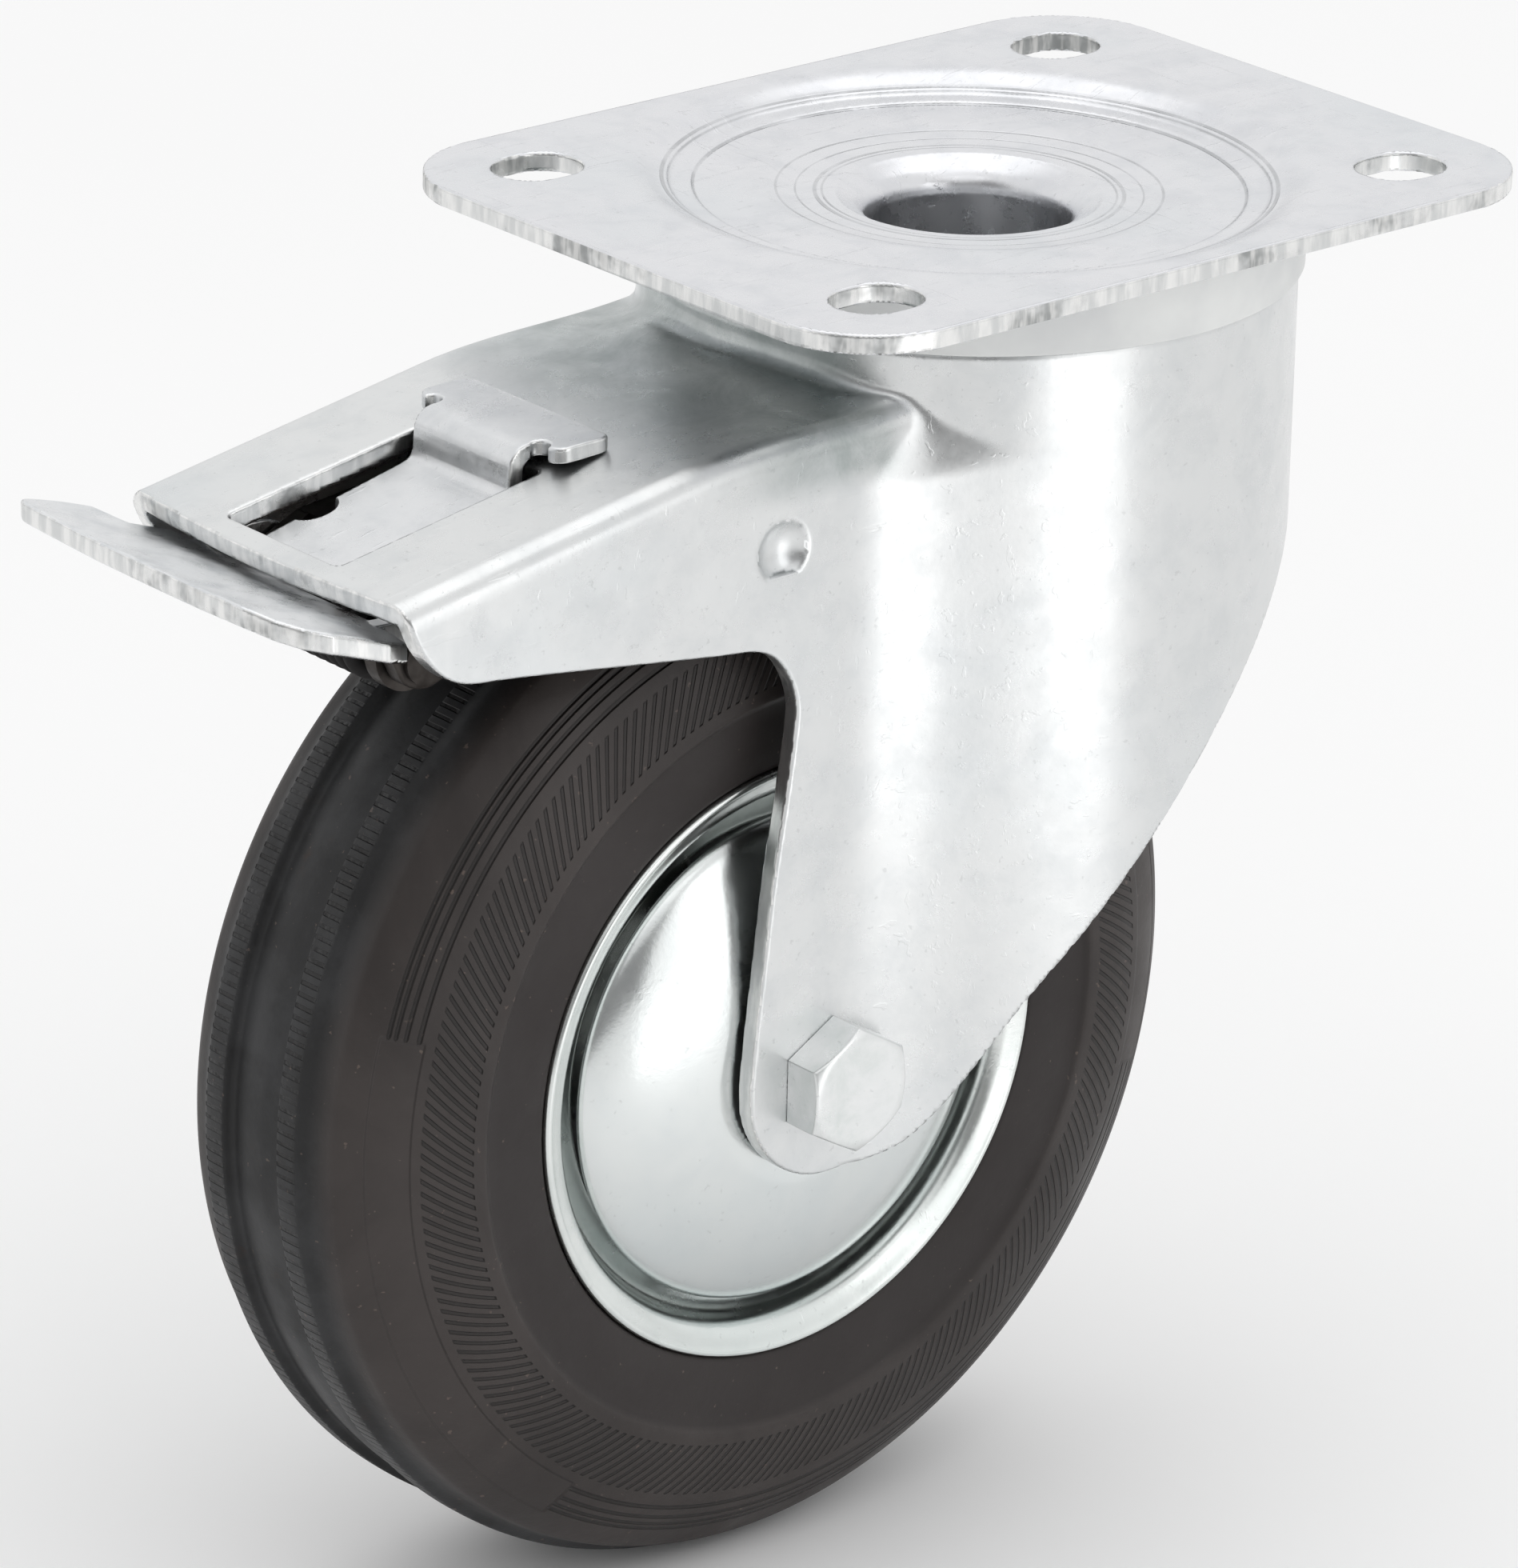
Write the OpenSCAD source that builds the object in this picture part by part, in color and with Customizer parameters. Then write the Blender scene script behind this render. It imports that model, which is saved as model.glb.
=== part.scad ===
// Braked swivel castor with a plate fixing: solid rubber tyre on a pressed rim,
// pressed fork with a snout over the wheel, double ball swivel head, and a pedal
// brake that stops the wheel and locks the swivel.
//
// Origin: centre of the top plate's top face, on the swivel axis.
// +Z is up, the wheel trails and the snout points towards -X, the axle lies along Y.
// All sizes are in millimetres.

/* [Top plate] */
// plate length along X
plate_l = 105; // [80:1:140]
// plate width along Y
plate_w = 82; // [60:1:110]
// plate thickness
plate_t = 2.3; // [2:0.1:5]
// plate corner radius
plate_corner_r = 13; // [4:1:20]
// hole spacing along X
hole_x = 78; // [60:1:105]
// hole spacing along Y
hole_y = 58; // [45:1:80]
// slot width of the fixing holes
slot_w = 9; // [6:0.5:13]
// slot length of the fixing holes
slot_l = 10.8; // [6:0.1:16]
// bore of the hollow kingpin
kingpin_bore_r = 11.5; // [5:0.5:14]

/* [Swivel head] */
// ball radius
ball_r = 2.5; // [1.5:0.5:4]
// pitch radius of the upper ball ring
upper_pitch_r = 28; // [24:0.5:30]
// pitch radius of the lower ball ring
lower_pitch_r = 21.5; // [19:0.5:24]
// number of upper balls
upper_balls_n = 24; // [12:1:30]
// number of lower balls
lower_balls_n = 20; // [10:1:24]
// number of notches in the swivel lock ring
lock_notches = 24; // [12:4:36]

/* [Fork] */
// sheet thickness of the fork pressing
sheet = 2.5; // [2:0.1:4]
// half width over the legs
leg_half = 24.7; // [20:0.1:32]
// outer radius of the crown and rear shroud
crown_r = 37.3; // [34:0.1:42]
// slope of the snout in degrees
snout_slope = 9.6; // [0:0.1:15]
// half width of the snout window
window_half = 10; // [6:0.5:14]

/* [Wheel] */
// wheel diameter
wheel_d = 125; // [100:5:160]
// tyre width
wheel_w = 37.5; // [30:0.5:50]
// overall height from the floor to the plate's top
overall_h = 155; // [130:1:200]
// distance from the swivel axis to the axle
offset = 39; // [25:0.5:55]
// length of the hub between the legs
hub_l = 44.4; // [38:0.1:60]

/* [Axle] */
// thread radius of the axle bolt
bolt_r = 4; // [3:0.5:6]
// width across flats of the bolt head and nut
hex_af = 13; // [10:1:19]

/* [Brake] */
// pedal thickness
pedal_t = 2.5; // [2:0.1:4]
// radius of the pedal pin
pin_r = 3; // [2:0.5:4]
// radius of the lever's fulcrum dimples
fulcrum_r = 3; // [2:0.1:4]

/* [Hidden] */
$fn = 96;
eps = 0.05;
wheel_r = wheel_d / 2;
axle_z = -overall_h + wheel_r;
leg_in = leg_half - sheet;
hex_r = hex_af / 2 / cos(30);
head_h = 5.3;
nut_h = 8;
// snout datum: front end of the snout's top face, and the frame along its slope
nose_x = -100.4;
nose_z = -23.8;
// fulcrum of the brake lever, pedal pin
ful_x = -47.6;
ful_z = -28.3;
pin_x = -90.5;
pin_z = -33;
lever_turn = 4;
lever_t = 2.5;
// tyre section
tread_half = 7;
shoulder_r = 20;
shoulder_w = wheel_w / 2 - tread_half;
// swivel head levels
upper_ball_z = -7;
crown_top_z = -9.2;
lower_ball_z = -13.9;
cup_top_z = -16.1;
cup_bot_z = -18.6;
kingpin_r = 14;

steel = [0.78, 0.8, 0.8];
dark_steel = [0.5, 0.52, 0.52];
bright_steel = [0.85, 0.86, 0.86];
rubber_black = [0.08, 0.075, 0.075];
seal_grey = [0.7, 0.71, 0.7];

// ---------- helpers ----------

// solid of revolution about the axle, profile in (radius, y)
module about_axle(pts)
    translate([-offset, 0, axle_z]) rotate([-90, 0, 0]) rotate_extrude() polygon(pts);

// plate in the XZ plane, centred on y = 0
module slab_xz(pts, half)
    translate([0, half, 0]) rotate([90, 0, 0]) linear_extrude(2 * half) polygon(pts);

// the same, between two y values
module slab_xz_at(pts, y0, y1)
    translate([0, y1, 0]) rotate([90, 0, 0]) linear_extrude(y1 - y0) polygon(pts);

// cylinder along Y
module bar_y(x, z, r, y0, y1)
    translate([x, y1, z]) rotate([90, 0, 0]) cylinder(r = r, h = y1 - y0);

// a point of the snout frame: s along the slope, w above its top face
function snout(s, w) = [nose_x + s * cos(snout_slope) - w * sin(snout_slope),
                        nose_z + s * sin(snout_slope) + w * cos(snout_slope)];

// point p turned about c by a degrees the way the brake turns when applied
function turned(p, c, a) = [c[0] + (p[0] - c[0]) * cos(a) - (p[1] - c[1]) * sin(a),
                            c[1] + (p[0] - c[0]) * sin(a) + (p[1] - c[1]) * cos(a)];

module rounded_plate_2d(l, w, r) {
    square([l - 2 * r, w], center = true);
    square([l, w - 2 * r], center = true);
    for (sx = [-1, 1], sy = [-1, 1])
        translate([sx * (l / 2 - r), sy * (w / 2 - r)]) circle(r = r);
}

module slot_2d(l, w) {
    square([l - w, w], center = true);
    for (s = [-1, 1]) translate([s * (l - w) / 2, 0]) circle(r = w / 2);
}

module ball_ring(n, pitch, z)
    for (i = [0 : n - 1])
        rotate([0, 0, i * 360 / n]) translate([pitch, 0, z]) sphere(r = ball_r, $fn = 32);

module race_groove(pitch, z)
    rotate_extrude() translate([pitch, z]) circle(r = ball_r + 0.04, $fn = 48);

// ---------- fixed to the load ----------

module top_plate() color(steel) difference() {
    union() {
        translate([0, 0, -plate_t]) linear_extrude(plate_t) difference() {
            rounded_plate_2d(plate_l, plate_w, plate_corner_r);
            circle(r = 39);
            for (sx = [-1, 1], sy = [-1, 1])
                translate([sx * hole_x / 2, sy * hole_y / 2]) slot_2d(slot_l, slot_w);
        }
        // dished centre with its ring step and the drawn kingpin
        rotate_extrude() polygon([
            [39.2, 0], [38.2, 0], [36.6, -0.55], [35.2, -1.25], [34.1, -1.5],
            [33.6, -2.0], [31.5, -2.1], [31, -2.45], [22, -2.7], [15.2, -3.1],
            [14.7, -3.45], [13.2, -4.1], [12.1, -5.1], [kingpin_bore_r, -6.6],
            [kingpin_bore_r, -20.6], [17.5, -20.6], [17.5, cup_bot_z],
            [kingpin_r, cup_bot_z], [kingpin_r, -8], [14.6, -6.5], [15.8, -5.35],
            [22, -5.0], [30.8, -4.75], [33, -4.4], [34.4, -3.8], [36, -3.0],
            [37.6, -plate_t], [39.2, -plate_t]]);
    }
    race_groove(upper_pitch_r, upper_ball_z);
}

module kingpin_cup() color(dark_steel) difference() {
    rotate_extrude() polygon([
        [kingpin_r + eps, cup_bot_z], [kingpin_r + eps, cup_top_z], [25.9, cup_top_z],
        [25.9, cup_bot_z]]);
    race_groove(lower_pitch_r, lower_ball_z);
}

module lock_ring() color(dark_steel) difference() {
    rotate_extrude() polygon([[25.9, cup_bot_z], [25.9, cup_top_z], [31.5, cup_top_z],
                              [31.5, cup_bot_z]]);
    for (i = [0 : lock_notches - 1])
        rotate([0, 0, i * 360 / lock_notches]) translate([27.4, -1.8, cup_bot_z - 1])
            cube([6, 3.6, 5]);
}

module upper_balls() color(bright_steel) ball_ring(upper_balls_n, upper_pitch_r, upper_ball_z);

module lower_balls() color(bright_steel) ball_ring(lower_balls_n, lower_pitch_r, lower_ball_z);

// ---------- swivelling fork ----------

module dust_seal() color(seal_grey) rotate_extrude() polygon([
    [33, crown_top_z], [33, -8.4], [36.9, -8.4], [36.9, -3.0], [38, -3.0],
    [38, -9.9], [37.4, -9.9], [36.8, crown_top_z + 0.05]]);

// outline of the legs and snout in the XZ plane, clockwise from the nose
leg_outline = [
    snout(-2, 1), snout(-2, -2), [-99.9, -26.5], [-98.1, -29.6], [-95.4, -32],
    [-91.7, -33.4], [-78.6, -35.2], [-56.4, -38.4], [-50.6, -39.2], [-47.8, -40.4],
    [-46, -42.8], [-45, -46.6], [-46.3, -57.5], [-47.8, -66.6], [-48.9, -75.8],
    [-50.2, -86.1], [-50.6, axle_z], [-39, axle_z], [-26.2, -99.7],
    [-26.2, 0], snout(70, 10)];

// cross-section of the snout, top face at 0 and legs running along +X
module channel_2d() difference() {
    union() {
        translate([3, -leg_half]) square([100, 2 * leg_half]);
        translate([0, -leg_half + 3]) square([20, 2 * leg_half - 6]);
        for (s = [-1, 1]) translate([3, s * (leg_half - 3)]) circle(r = 3);
    }
    translate([sheet, -leg_in]) square([120, 2 * leg_in]);
}

module snout_and_legs() difference() {
    intersection() {
        translate([nose_x, 0, nose_z]) rotate([0, 90 - snout_slope, 0])
            translate([0, 0, -3]) linear_extrude(90) channel_2d();
        union() {
            slab_xz(leg_outline, leg_half + 1);
            bar_y(-offset, axle_z, 11.6, -leg_half - 1, leg_half + 1);
        }
        translate([nose_x + 150, 0, -60]) cube([300, 200, 200], center = true);
    }
    // nothing of the sheet inside the crown
    translate([0, 0, -60]) cylinder(r = crown_r - sheet + 0.1, h = 60);
    // window for the spring leaf
    slab_xz([snout(3.4, 3), snout(31.2, 3), snout(31.2, -6), snout(3.4, -6)], window_half);
}

// rear shroud: the crown's wall carried down to a swept edge
shroud_outline = [
    [-26.4, -12], [-26.4, -100], [-23, -95.4], [-16.9, -86], [-11.9, -79.6],
    [-7.2, -74], [-3.1, -69.1], [3.9, -61.2], [10.9, -53.8], [18.6, -46.9],
    [26.2, -40.5], [32, -36.2], [39, -32], [39, -12]];

module shroud_wall() intersection() {
    difference() {
        translate([0, 0, -105]) cylinder(r = crown_r, h = 92);
        translate([0, 0, -106]) cylinder(r = crown_r - sheet, h = 94);
    }
    slab_xz(shroud_outline, crown_r + 1);
}

module crown() difference() {
    rotate_extrude() polygon([
        [16, crown_top_z], [36.2, crown_top_z], [36.9, -9.5], [37.2, -10.0],
        [crown_r, -10.6], [crown_r, -17], [crown_r - sheet, -17],
        [crown_r - sheet, -13.2], [34.2, -12.1], [33.6, -11.7], [16, -11.7]]);
    race_groove(upper_pitch_r, upper_ball_z);
    race_groove(lower_pitch_r, lower_ball_z);
}

// inward dimples that carry the brake lever, hollow on the outside
module fulcrum_dimples() for (s = [-1, 1])
    bar_y(ful_x, ful_z, fulcrum_r, s > 0 ? 20.2 : -leg_in - 0.5, s > 0 ? leg_in + 0.5 : -20.2);

module dimple_recess() for (s = [-1, 1]) intersection() {
    bar_y(ful_x, ful_z, 2.7, s > 0 ? leg_half - 1.6 : -leg_half - 1, s > 0 ? leg_half + 1 : -leg_half + 1.6);
    translate([ful_x, 0, ful_z + 1.2]) rotate([0, 20, 0]) cube([8, 100, 5.6], center = true);
}

module fork() color(steel) difference() {
    union() {
        snout_and_legs();
        shroud_wall();
        crown();
        fulcrum_dimples();
    }
    dimple_recess();
    bar_y(-offset, axle_z, bolt_r + 0.1, -40, 40);
}

// spring leaf seen through the window, hooked over the window's rear edge
module spring_leaf() color(steel) difference() {
    union() {
        slab_xz([snout(6.9, -3.4), snout(27.6, -2.1), snout(28, 1.6), snout(28.6, 2.4),
                 snout(29.8, 2.95), snout(32, 2.9), snout(39.6, 1.8), snout(39.6, 0),
                 snout(32, 1.1), snout(30.6, 1.0), snout(30, -0.2), snout(29.7, -4),
                 snout(6.9, -5.2)], 8.4);
        slab_xz([snout(31.4, 2.93), snout(39.6, 1.8), snout(39.6, 0),
                 snout(31.4, 1.1)], 12.4);
    }
    // edge notch
    translate([-86, 9, -40]) cylinder(r = 2.8, h = 30);
}

module hex_y(x, z, y0, y1)
    translate([x, y1, z]) rotate([90, 0, 0]) cylinder(r = hex_r, h = y1 - y0, $fn = 6);

module axle_bolt() color(bright_steel) {
    intersection() {
        hex_y(-offset, axle_z, -leg_half - head_h, -leg_half);
        about_axle([[0, -leg_half + 0.5], [9, -leg_half + 0.5], [9, -leg_half - head_h + 1.3],
                    [6.3, -leg_half - head_h], [0, -leg_half - head_h]]);
    }
    bar_y(-offset, axle_z, bolt_r, -leg_half - 0.5, leg_half + 11.2);
}

module bolt_washer() color(bright_steel) about_axle([
    [bolt_r + 0.2, leg_half], [8, leg_half], [8, leg_half + 1.6],
    [bolt_r + 0.2, leg_half + 1.6]]);

module axle_nut() color(bright_steel) difference() {
    intersection() {
        hex_y(-offset, axle_z, leg_half + 1.6, leg_half + 1.6 + nut_h);
        about_axle([[0, leg_half + 1.6], [9, leg_half + 1.6], [9, leg_half + 1.6 + nut_h - 1.6],
                    [6.0, leg_half + 1.6 + nut_h], [0, leg_half + 1.6 + nut_h]]);
    }
    bar_y(-offset, axle_z, bolt_r, 0, 60);
}

// sleeve clamped between the legs, with the end rings that shim the hub
module axle_sleeve() color(dark_steel) about_axle([
    [bolt_r + 0.1, -hub_l / 2], [9.5, -hub_l / 2], [9.5, -hub_l / 2 + 1.2],
    [7, -hub_l / 2 + 1.2], [7, hub_l / 2 - 1.2], [9.5, hub_l / 2 - 1.2],
    [9.5, hub_l / 2], [bolt_r + 0.1, hub_l / 2]]);

// ---------- wheel ----------

function shoulder(n, s) = [for (i = [0 : n])
    [wheel_r - shoulder_r + shoulder_r * cos(90 * i / n),
     s * (tread_half + shoulder_w * sin(90 * i / n))]];
function mirrored(p) = [for (i = [len(p) - 1 : -1 : 0]) [p[i][0], -p[i][1]]];

// half section of the tyre from the tread's middle to the rim seat
tyre_half = concat(
    [[wheel_r - 0.9, 0], [wheel_r - 1.1, 3.8], [wheel_r, 4.7], [wheel_r - 0.15, 8.1],
     [wheel_r - 1.5, 9.6], [wheel_r - 1.7, 10.6]],
    [for (p = shoulder(9, 1)) if (p[1] > 11.5) p],
    [[41, wheel_w / 2], [40.4, 18.4], [36, 18.1], [35.6, 17.9], [35.6, 17.05],
     [33.2, 16.3], [31.8, 15.0], [31.3, 12.9], [28.6, 10.4], [28.2, 9.2]]);

module tyre() color(rubber_black)
    about_axle(concat(tyre_half, mirrored([for (i = [1 : len(tyre_half) - 1]) tyre_half[i]])));

// one pressed rim half; s = -1 is the near (-Y) side
rim_half_pts = [
    [35.5, 18.1], [35.5, 17.2], [33.1, 16.4], [31.7, 15.1], [31.2, 13.0], [28.5, 10.5],
    [28.1, 9.2], [28.1, 0.05], [13.15, 0.05], [13.15, 16], [14.6, 16], [14.6, 1.55],
    [26.6, 1.55], [26.6, 9.8], [27.4, 11.5], [29.8, 13.7], [30.4, 15.9], [32.3, 17.4],
    [34.4, 18.1]];
function on_side(p, s) = [for (q = p) [q[0], s * q[1]]];

module rim_half(s) color(steel) difference() {
    about_axle(on_side(rim_half_pts, s));
    rivet_bars(1.55);
}

module rim_near() rim_half(-1);
module rim_far() rim_half(1);

module rivet_bars(r)
    for (i = [0 : 5]) translate([-offset, 0, axle_z]) rotate([0, i * 60 + 30, 0])
        translate([20.5, 5, 0]) rotate([90, 0, 0]) cylinder(r = r, h = 10, $fn = 32);

module rim_rivets() color(bright_steel)
    for (i = [0 : 5]) translate([-offset, 0, axle_z]) rotate([0, i * 60 + 30, 0])
        translate([20.5, 0, 0]) rotate([90, 0, 0]) {
            translate([0, 0, -1.55]) cylinder(r = 1.5, h = 3.1, $fn = 32);
            for (e = [-1, 1]) translate([0, 0, e * 2.15 - 0.6])
                cylinder(r = 2.8, h = 1.2, $fn = 32);
        }

module hub_tube() color(dark_steel) about_axle([
    [11, -20.6], [13.15, -20.6], [13.15, 20.6], [11, 20.6]]);

// domed cover disc pressed on the hub tube
cover_pts = [
    [9.9, 20.6], [9.9, 21.6], [13.5, 21.5], [20, 20.3], [23.2, 19.4], [26, 18.3],
    [28.2, 17.1], [29, 16.4], [29.2, 15.6], [28.3, 15.6], [27.6, 16.3], [25.5, 17.4],
    [22.8, 18.4], [19.7, 19.3], [15, 20.3], [13.15, 20.6]];

module cover_disc(s) color(steel) about_axle(on_side(cover_pts, s));

module cover_near() cover_disc(-1);
module cover_far() cover_disc(1);

module roller_pockets(r)
    for (i = [0 : 9]) translate([-offset, 0, axle_z]) rotate([0, i * 36, 0])
        translate([9, 16.1, 0]) rotate([90, 0, 0]) cylinder(r = r, h = 32.2, $fn = 32);

module roller_cage() color(dark_steel) difference() {
    about_axle([[8.2, -18.5], [9.8, -18.5], [9.8, 18.5], [8.2, 18.5]]);
    roller_pockets(2.06);
}

module rollers() color(bright_steel)
    for (i = [0 : 9]) translate([-offset, 0, axle_z]) rotate([0, i * 36, 0])
        translate([9, 16, 0]) rotate([90, 0, 0]) cylinder(r = 1.95, h = 32, $fn = 32);

// ---------- brake ----------

// top face of the lever's plate at x
function lever_z(x) = -20.4 + 0.113 * (x + 30);
function lever_strip(x0, x1) = [[x0, lever_z(x0)], [x1, lever_z(x1)],
                                [x1, lever_z(x1) - lever_t], [x0, lever_z(x0) - lever_t]];

module brake_lever() color(steel) difference() {
    union() {
        slab_xz(lever_strip(-84, -57), 14);
        slab_xz(lever_strip(-58, -37), 21.9);
        slab_xz(lever_strip(-38, -29), 12);
        for (s = [-1, 1]) {
            // fulcrum ears
            slab_xz_at([[-54, lever_z(-54)], [-41, lever_z(-41)], [-41, ful_z],
                        [-54, ful_z]], s > 0 ? 19.9 : -21.9, s > 0 ? 21.9 : -19.9);
            bar_y(ful_x, ful_z, 6.3, s > 0 ? 19.9 : -21.9, s > 0 ? 21.9 : -19.9);
            // pedal flanges
            slab_xz_at([[-84.3, -26.6], [-70, lever_z(-70)], [-70, -29.5], [-86, -36.5],
                        [-94, -34], [-94, -31]], s > 0 ? 12 : -14, s > 0 ? 14 : -12);
            bar_y(pin_x, pin_z, 4.6, s > 0 ? 12 : -14, s > 0 ? 14 : -12);
        }
    }
    bar_y(ful_x, ful_z, fulcrum_r + 0.06, -30, 30);
    bar_y(pin_x, pin_z, pin_r + 0.06, -30, 30);
}

// curved pad, concentric with the tread once the brake is on, on two ribs
shoe_c = turned([-offset, axle_z], [ful_x, ful_z], -lever_turn);
shoe_r = wheel_r + 0.15;

module brake_shoe() color(dark_steel) {
    intersection() {
        difference() {
            bar_y(shoe_c[0], shoe_c[1], shoe_r + 3, -11.8, 11.8);
            bar_y(shoe_c[0], shoe_c[1], shoe_r, -20, 20);
        }
        slab_xz([[-76, -25], [-56.5, -25], [-56.5, -50], [-76, -50]], 20);
    }
    for (s = [-1, 1]) difference() {
        slab_xz_at([[-76, lever_z(-76) - lever_t], [-57, lever_z(-57) - lever_t],
                    [-57, -50], [-76, -50]], s > 0 ? 6 : -8.5, s > 0 ? 8.5 : -6);
        bar_y(shoe_c[0], shoe_c[1], shoe_r + 1.5, -20, 20);
    }
}

module lock_tooth() color(dark_steel) slab_xz([
    [-31.2, -18.95], [-28.9, -18.95], [-29, lever_z(-29)], [-31.2, lever_z(-31.2)]], 1.3);

module pedal_pin() color(bright_steel) bar_y(pin_x, pin_z, pin_r, -17.4, 17.4);

// close-wound return spring on the pin between the lever's flanges, with its two legs
module pedal_spring() color(bright_steel) {
    translate([pin_x, 0, pin_z]) rotate([-90, 0, 0]) rotate_extrude()
        for (i = [-5 : 5]) translate([pin_r + 0.95, i * 1.7]) circle(r = 0.9, $fn = 24);
    for (s = [-1, 1]) translate([pin_x, s * 9.4, pin_z + pin_r + 0.95])
        rotate([0, s > 0 ? 68 : -70, 0]) cylinder(r = 0.8, h = 5.8, $fn = 24);
}

// top face of the pedal blade at x, rising outwards
function blade_z(x) = -27.5 - 0.36 * (x + 98.5);
blade = [[-115, blade_z(-115)], [-96, blade_z(-96)], [-96, blade_z(-96) - pedal_t * 1.06],
         [-115, blade_z(-115) - pedal_t * 1.06]];

module pedal_plan_2d() polygon([
    [-96, -21.6], [-106.5, -21.5], [-109.5, -20.4], [-112, -18.2], [-113.8, -15],
    [-114.4, 0], [-113, 20], [-112, 26], [-111, 27.6], [-109.6, 28], [-101.3, 28],
    [-101.3, 21.6], [-96, 21.6]]);

module brake_pedal() color(steel) {
    intersection() {
        slab_xz(blade, 40);
        translate([0, 0, -50]) linear_extrude(50) pedal_plan_2d();
    }
    difference() {
        for (s = [-1, 1]) slab_xz_at(
            [[-100, -27.4], [-94.5, -27.4], [-90.5, -26.3], [-86.6, -26.5], [-84.2, -27.4],
             [-83.6, -30], [-84.5, -35], [-86.5, -37.2], [-91.5, -37.2], [-95, -34],
             [-98, -30.8], [-100, -29.5]], s > 0 ? 14.3 : -16.8, s > 0 ? 16.8 : -14.3);
        bar_y(pin_x, pin_z, pin_r, -30, 30);
    }
}

top_plate();
kingpin_cup();
lock_ring();
upper_balls();
lower_balls();
dust_seal();
fork();
spring_leaf();
axle_bolt();
axle_nut();
bolt_washer();
axle_sleeve();
tyre();
rim_near();
rim_far();
rim_rivets();
hub_tube();
cover_near();
cover_far();
roller_cage();
rollers();
brake_lever();
brake_shoe();
lock_tooth();
pedal_pin();
pedal_spring();
brake_pedal();
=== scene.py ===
"""Looks of the braked swivel castor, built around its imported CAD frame.

Shapes are worked out in millimetres in the CAD part's frame: the origin is the centre of the
top plate's top face, +Z is up, the wheel trails and the snout points towards -X.
Pressed sheet parts are meshed from distance fields, round parts are lathed.
"""

import math

import bpy
import numpy as np
from mathutils import Matrix, Vector

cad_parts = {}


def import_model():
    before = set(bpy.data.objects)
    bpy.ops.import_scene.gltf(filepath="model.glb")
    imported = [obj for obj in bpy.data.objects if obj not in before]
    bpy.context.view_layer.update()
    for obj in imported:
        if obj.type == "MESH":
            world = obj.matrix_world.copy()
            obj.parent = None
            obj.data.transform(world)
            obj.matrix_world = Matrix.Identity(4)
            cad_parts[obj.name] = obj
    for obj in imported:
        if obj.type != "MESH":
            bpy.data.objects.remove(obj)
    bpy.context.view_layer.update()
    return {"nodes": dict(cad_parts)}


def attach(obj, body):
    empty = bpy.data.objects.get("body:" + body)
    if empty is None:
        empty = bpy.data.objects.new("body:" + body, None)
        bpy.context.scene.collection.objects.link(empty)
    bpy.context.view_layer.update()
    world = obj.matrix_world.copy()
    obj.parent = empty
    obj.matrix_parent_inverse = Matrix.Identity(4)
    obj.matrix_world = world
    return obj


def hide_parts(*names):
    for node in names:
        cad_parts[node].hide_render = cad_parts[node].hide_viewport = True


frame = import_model()
MM = 0.001

# ---------------------------------------------------------------- sizes, mm

AXLE_X, AXLE_Z = -39.0, -92.5
# fork: sheet, half width over the legs, crown, roundings, the snout's front edge and slope
SHEET = 2.5
LEG_HALF = 24.7
CROWN_R = 37.3
CROWN_TOP = -9.2
CROWN_BORE = 16.0
BEND_R, SHOULDER_R, EDGE_R = 3.0, 1.2, 0.4
NOSE_X, NOSE_Z = -100.4, -23.8
SLOPE = math.radians(9.6)
# the snout's window: half width, and its middle and half length along the snout
WINDOW_HALF, WINDOW_MIDDLE, WINDOW_REACH = 9.9, 17.4, 14.0
# dimple over the lever's pivot: place, radius, and how far below its middle it is cut flat
DIMPLE_X, DIMPLE_Z = -47.6, -28.3
DIMPLE_R, DIMPLE_FOOT = 3.45, 2.7
# bolt and nut
HEX_HALF = 6.5
HEAD_H = 5.3
NUT_FACE = LEG_HALF + 1.6
NUT_H = 8.0
# top plate, its fine rings (radius, half width), and the radii its slab starts and dish ends at
PLATE_L, PLATE_W, PLATE_T, PLATE_R = 105.0, 82.0, 2.3, 13.0
PLATE_RINGS = ((34.6, 0.22), (33.9, 0.10), (31.1, 0.16), (21.8, 0.14), (19.6, 0.10), (17.4, 0.22),
               (16.6, 0.12))
SLAB_FROM, DISH_TO = 38.8, 39.5
HOLE_X, HOLE_Y, SLOT_W, SLOT_L = 78.0, 58.0, 9.0, 10.8
# pedal: a point on the blade's top, its slope and thickness, and the cheeks' places
PEDAL_X, PEDAL_Z, PEDAL_SLOPE, PEDAL_T = -98.5, -27.5, 0.36, 2.3
CHEEK_MIDDLE, CHEEK_HALF = 15.55, 1.2

# ---------------------------------------------------------------- distance fields


def soft_min(a, b, k):
    h = np.maximum(k - np.abs(a - b), 0.0) / k
    return np.minimum(a, b) - h * h * k * 0.25


def soft_max(a, b, k):
    return -soft_min(-a, -b, k)


def round_max(a, b, r):
    """Intersection of two fields whose meeting edge is rounded with radius r."""
    outside = np.hypot(np.maximum(a + r, 0.0), np.maximum(b + r, 0.0))
    return np.minimum(np.maximum(a, b), -r) + outside


def ramp(x, start, end):
    t = np.clip((x - start) / (end - start), 0.0, 1.0)
    return t * t * (3.0 - 2.0 * t)


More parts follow.
